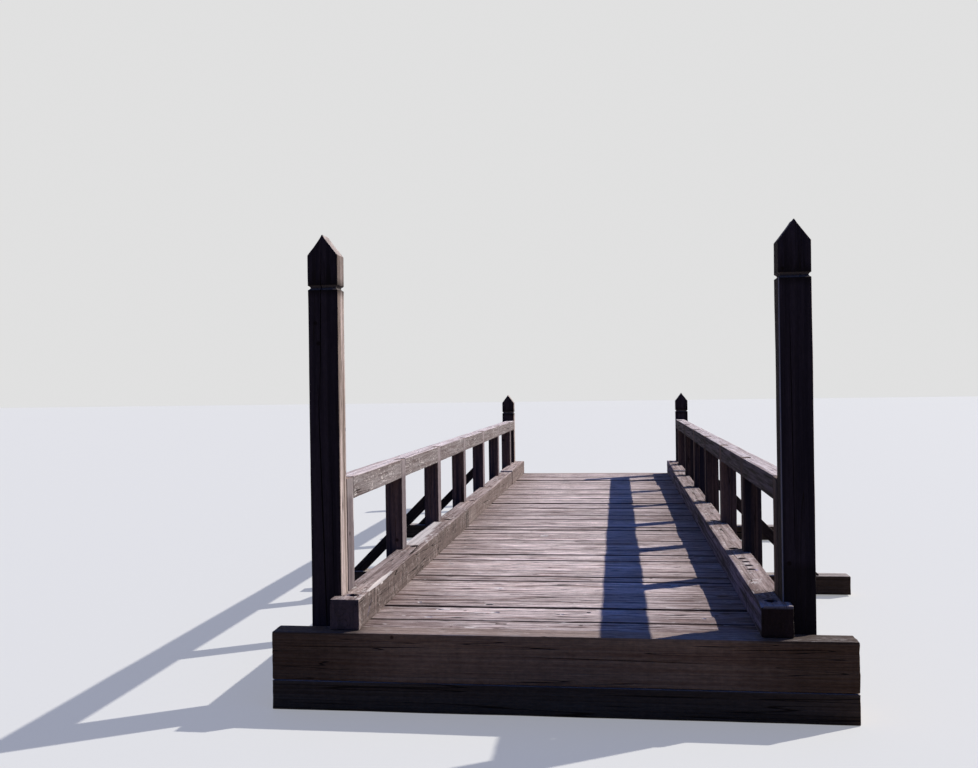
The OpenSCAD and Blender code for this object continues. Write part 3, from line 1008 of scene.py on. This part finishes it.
    # dirt gathers on the deck along the kerbs, by the near end and in the joints
    if dirt:
        in_joint = add(tree, "MapRange", (pattern["mottle"], 0.35, 0.60, 0.4, 0.8))
        soil = add(tree, "Attribute", attribute_name="soil", out=2)
        in_joint = add(tree, "Math", (in_joint, soil), operation="MULTIPLY")
        across_deck, along_deck, _ = add(tree, "SeparateXYZ", (place,)).node.outputs
        from_middle = add(tree, "Math", (across_deck, 0.09), operation="ADD")
        from_middle = add(tree, "Math", (from_middle,), operation="ABSOLUTE")
        from_middle = add(tree, "Math", (pattern["mottle"], 0.6, from_middle), operation="MULTIPLY_ADD")
        soiled = add(tree, "MapRange", (from_middle, dirt[0] + 0.3, dirt[1] + 0.3, 0.0, 0.58))
        by_end = add(tree, "MapRange", (along_deck, near, near + 2.2, 0.20, 0.0))
        soiled = add(tree, "Math", (soiled, by_end), operation="ADD", use_clamp=True)
        wood = add(tree, "Mix", {0: soiled, 6: wood, 7: linear("#5a443f")}, **as_colour)
        wood = add(tree, "Mix", {0: in_joint, 6: wood, 7: linear("#4a3e39")}, **as_colour)

    # knots
    knot_far = add(tree, "TexVoronoi", {"Vector": place, "Scale": 4.2, "Randomness": 1.0})
    heart = add(tree, "MapRange", (knot_far, 0.045, 0.075, 0.85, 0.0))
    wood = add(tree, "Mix", {0: heart, 6: wood, 7: linear("#6e5a52")}, blend_type="MULTIPLY", **as_colour)

    # the rounded arrises in their own colour, weaker on faces turned from the lamp: pale worn fibres with a
    # painted highlight, on the deck a dark edge; brown sawn ends
    flat = add(tree, "Math", (sides_1, sides_2), operation="MAXIMUM")
    flat = add(tree, "Math", (flat, ends), operation="MAXIMUM")
    arris = add(tree, "MapRange", (flat, 0.95, 0.80, 0.0, 0.55))
    arris_lit_share = add(tree, "MapRange", (bleached_and_lit, 0.0, 1.0, 0.3, 1.0))
    arris_share = add(tree, "Math", (arris, arris_lit_share), operation="MULTIPLY")
    wood = add(tree, "Mix", {0: arris_share, 6: wood, 7: linear(arris_colour)}, **as_colour)
    sawn = add(tree, "Mix", {0: end_grain, 6: (1, 1, 1, 1), 7: (1.0, 0.72, 0.50, 1)}, **as_colour)
    wood = add(tree, "Mix", {0: 1.0, 6: wood, 7: sawn}, blend_type="MULTIPLY", **as_colour)

    # pale flakes on faces turned to the lamp, and the places that are marked as worn, bleached or given a
    # painted highlight
    crust = add(tree, "MapRange", (pattern["flake"], flake_from, flake_from + 0.07, 0.0, flakes))
    peeling = add(tree, "MapRange", (pattern["mottle"], 0.46, 0.59, 0.08, 1.0))
    peeling = add(tree, "Math", (peeling, marks["peel"]), operation="MAXIMUM")
    by_side = add(tree, "MapRange", (top, 0.3, 0.8, side_flakes, 1.0))
    for factor in (peeling, bleached_and_lit, by_side):
        crust = add(tree, "Math", (crust, factor), operation="MULTIPLY")
    wear_and_shade = add(tree, "Math", (marks["wear_and_shade"], 0.75), operation="MULTIPLY")
    through = add(tree, "MapRange", (mixed, 0.0, 1.0, 0.7, 1.0))
    bleach_and_highlight_marks = add(tree, "Math", (marks["bleach_and_highlight"], through), operation="MULTIPLY")
    for least in (wear_and_shade, bleach_and_highlight_marks):
        crust = add(tree, "Math", (crust, least), operation="MAXIMUM")
    wood = add(tree, "Mix", {0: crust, 6: wood, 7: linear(flake_colour)}, **as_colour)

    # hair splits, dark
    off_middle = add(tree, "Math", (pattern["check"], 0.5), operation="SUBTRACT")
    off_middle = add(tree, "Math", (off_middle,), operation="ABSOLUTE")
    open_split = add(tree, "MapRange", (off_middle, checks * 0.35, checks, 1.0, 0.0))
    wood = add(tree, "Mix", {0: open_split, 6: wood, 7: linear("#1c1614")}, **as_colour)

    # relief: streaks, fibres and splits
    height = add(tree, "Math", (bands, pattern["fibre"]), operation="ADD")
    height = add(tree, "Math", (open_split, -1.6, height), operation="MULTIPLY_ADD")
    bump = add(tree, "Bump", {"Height": height, "Strength": 0.55, "Distance": 0.0022})
    surface = add(tree, "BsdfPrincipled", {"Base Color": wood, "Roughness": 0.86, "Specular IOR Level": 0.08,
                                           "IOR": 1.5, "Normal": bump})
    add(tree, "OutputMaterial", {"Surface": surface})
    return material


print("timber material is ready")

# %% [markdown]
# ## Rusted iron
# The bolts are plain steel that has rusted for years: dark brown oxide, nearly black in
# the recess, with orange dust in the pits. Rust is no metal, so metallic stays low
# and the surface is rough.

# %% The iron
def rusted_iron(name):
    """Dark brown rust with patches of orange, 6 mm across."""
    material = bpy.data.materials.new(name)
    tree = new_tree(material)
    place = add(tree, "TexCoord", out=3)
    patch = add(tree, "TexNoise", {"Vector": place, "Scale": 160.0, "Detail": 5.0, "Roughness": 0.65})
    orange = add(tree, "MapRange", (patch, 0.48, 0.66, 0.0, 1.0))
    rust = add(tree, "Mix", {0: orange, 6: linear("#2c211c"), 7: linear("#6b4128")}, **as_colour)
    bump = add(tree, "Bump", {"Height": patch, "Strength": 0.5, "Distance": 0.001})
    surface = add(tree, "BsdfPrincipled", {"Base Color": rust, "Metallic": 0.25, "Roughness": 0.78,
                                           "Normal": bump})
    add(tree, "OutputMaterial", {"Surface": surface})
    return material


print("iron is ready")

# %% [markdown]
# ## Each timber its finish
# All timbers are the same wood. They differ in the way the grain runs and in how far
# they have bleached: the deck and the rails' tops most, the kerbs less, while the posts
# keep the most creosote. What lies under the deck has hardly seen the sun, and the ends
# of the bridge have stayed brown.

# %% Assign the materials
finishes = {
    "deck": weathered_pine("bleached_deck_pine", "x", "#fdeae5", "#967d75", "#5f534e", "#85776f",
                           flake_colour="#fff9f5", flakes=0.8, flake=(0.10, 0.02), flake_from=0.60,
                           checks=0.020, check=(1.1, 0.035), fibre=(0.18, 0.011), contrast=1.9,
                           streak=(0.50, 0.020), crisp=0.07, paler=0.035, dirt=(0.48, 1.25),
                           speck=(0.07, 0.030), speckle=0.27, own_range=(0.77, 1.18), arris_colour="#6b5d58"),
    "kerb": weathered_pine("weathered_kerb_pine", "y", "#b6a49e", "#7c6a65", "#2e2833", "#b0a3b6",
                           flakes=0.85, flake=(0.040, 0.022), checks=0.006, sides=0.46, streak=(0.8, 0.03),
                           crisp=0.11, own_range=(0.78, 1.36), rain=(0.45, 1.55), calm=0.6),
    "rail": weathered_pine("weathered_rail_pine", "y", "#f6e9e6", "#bda9a5", "#2a2429", "#bfafb8",
                           flakes=0.9, flake=(0.06, 0.012), flake_from=0.56, checks=0.004, sides=0.29,
                           streak=(0.6, 0.02), crisp=0.11, side_flakes=0.9, rain=(0.85, 1.15)),
    "rail_post": weathered_pine("creosoted_rail_post_pine", "z", "#96898a", "#776b6d", "#33303b", "#836a5e",
                                flakes=0.6, checks=0.006, sides=0.68, streak=(2.0, 0.045), crisp=0.12,
                                own_range=(0.62, 1.45)),
    "gate_post": weathered_pine("creosoted_gate_post_pine", "z", "#dac8c2", "#87776d", "#251f25", "#3e3437",
                                checks=0.006, sides=1.0, streak=(2.0, 0.05), crisp=0.10),
    "header": weathered_pine("creosoted_header_pine", "x", "#bfaaa0", "#8d7a71", "#9c7453", "#bb9670",
                             checks=0.005, sides=1.0),
    "girder": weathered_pine("creosoted_girder_pine", "y", "#8d807c", "#6c605d", "#352c29", "#4a3f3a",
                             flakes=0.0),
    "foundation": weathered_pine("creosoted_sill_pine", "x", "#cfc4bc", "#988c86", "#5a4837", "#76634e"),
    "iron": rusted_iron("rusted_iron"),
}
for brace in ("left_brace", "right_brace"):          # their grain runs at two slopes
    name = "creosoted_brace_pine_" + brace.split("_")[0]
    finishes[brace] = weathered_pine(name, brace, "#a99d99", "#7d7270", "#2d2523", "#433834")
for piece, finish in waiting:
    piece.data.materials.clear()
    piece.data.materials.append(finishes[finish])
    for face in piece.data.polygons:
        face.material_index = 0
print(len(waiting), "pieces in", len(finishes), "finishes")

# %% [markdown]
# ## Sizes
# The dressed bridge must fill the same box as the frame. Its size is printed here, as the frame's was at the
# start.

# %% Measure the dressed box
low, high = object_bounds()
print("dressed", [round(v, 3) for v in high - low])
